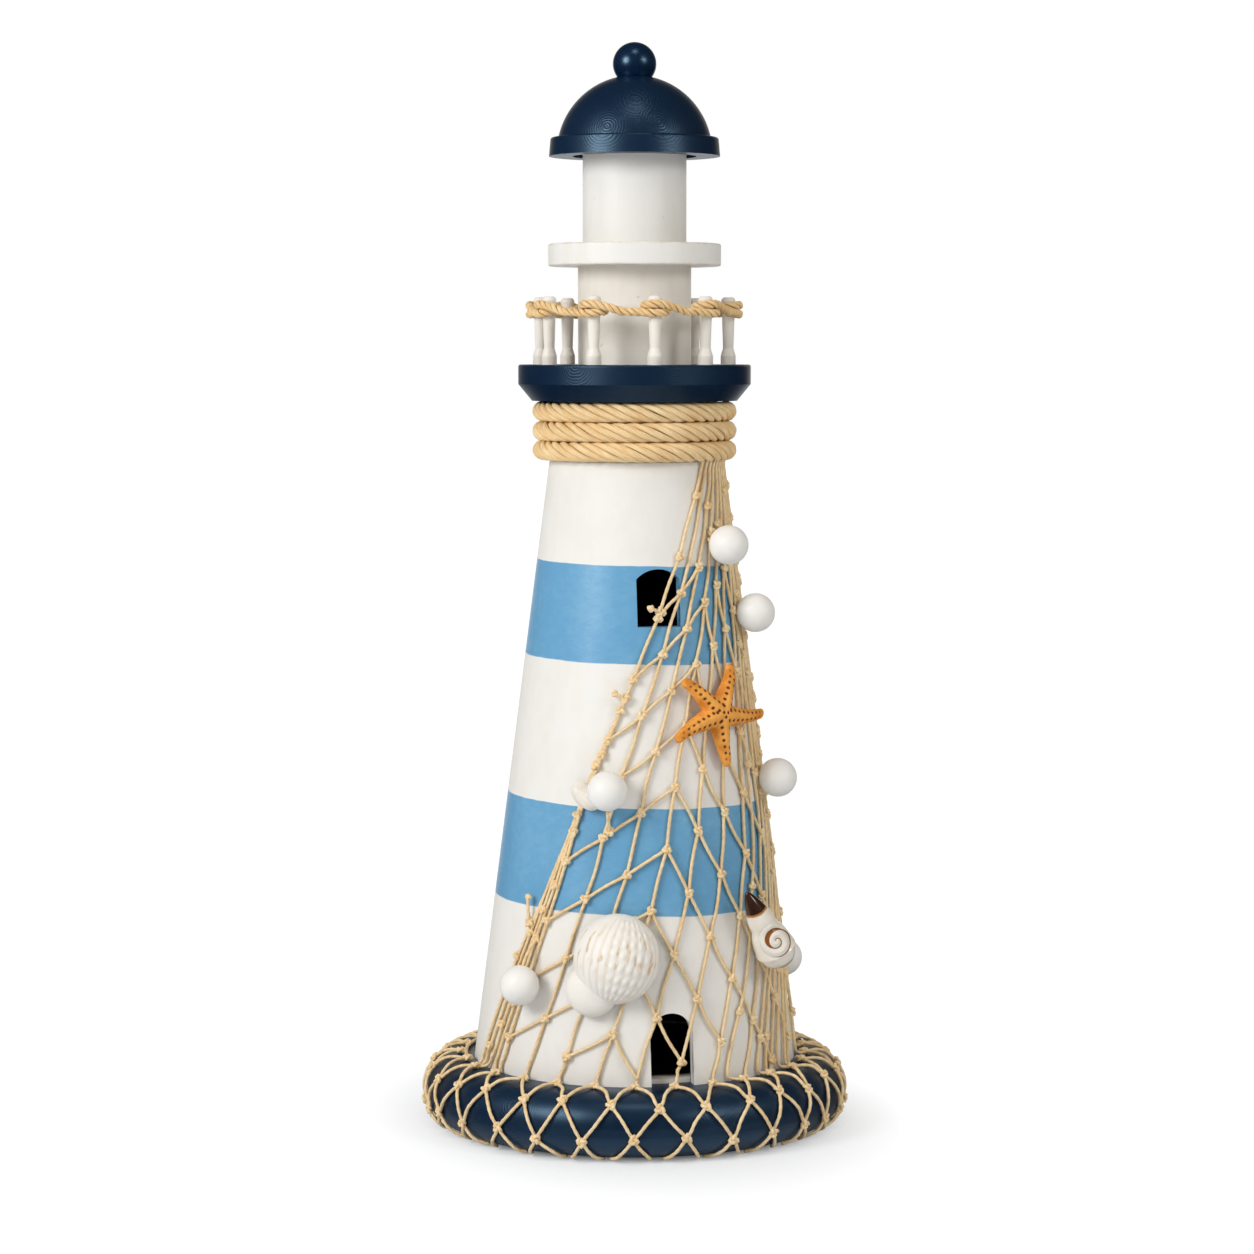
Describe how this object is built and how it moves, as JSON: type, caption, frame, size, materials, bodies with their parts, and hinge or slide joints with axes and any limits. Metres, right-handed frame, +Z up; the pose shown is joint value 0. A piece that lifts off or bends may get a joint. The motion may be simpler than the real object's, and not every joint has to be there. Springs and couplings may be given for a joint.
{
  "type": "wooden lighthouse ornament",
  "caption": "Painted wooden lighthouse ornament with a railed gallery, roped neck, lift-off domed roof and a knotted twine net hung with floats, shells and a starfish.",
  "frame": {"origin": "centre of the underside, on the surface that it stands on", "axes": "+Z up along the tower, -Y towards the side with the door and the window"},
  "size_m": [0.1614, 0.1616, 0.4],
  "materials": {
    "felt": "matte",
    "navy_paint": "satin paint",
    "white_paint": "satin paint",
    "bare_wood": "bare",
    "screw_steel": "brushed",
    "rope": "laid rope",
    "twine": "twisted twine",
    "float_white": "satin paint",
    "starfish_orange": "matte",
    "shell_white": "matte",
    "shell_gloss": "gloss"
  },
  "bodies": {
    "lighthouse": {"felt_pad": "felt", "base_disc": "navy_paint", "base_screws": "screw_steel", "tower_floor": "white_paint", "tower_shell": "white_paint", "tower_cap_plug": "bare_wood", "neck_rope": "rope", "gallery_deck": "navy_paint", "gallery_dowel": "bare_wood", "rail_rope": "rope", "watch_room": "white_paint", "upper_deck": "white_paint", "lantern_dowel": "bare_wood", "lantern": "white_paint", "net_over_tower": "twine", "net_over_base": "twine", "starfish": "starfish_orange", "cockle_shell": "shell_white", "clam_shell": "shell_white", "spiral_shell": "shell_gloss", "small_shell": "shell_gloss", "baluster_1": "white_paint", "baluster_2": "white_paint", "baluster_3": "white_paint", "baluster_4": "white_paint", "baluster_5": "white_paint", "baluster_6": "white_paint", "baluster_7": "white_paint", "baluster_8": "white_paint", "baluster_9": "white_paint", "float_1": "float_white", "float_2": "float_white", "float_3": "float_white", "float_4": "float_white", "float_5": "float_white", "float_6": "float_white"},
    "roof": {"roof_dome": "navy_paint", "roof_ball": "navy_paint", "ball_dowel": "bare_wood", "roof_peg": "bare_wood"}
  },
  "joints": [
    {"name": "roof_lift", "type": "slide", "parent": "lighthouse", "child": "roof", "axis": [0, 0, 1], "range_m": [0, 0.05]}
  ]
}
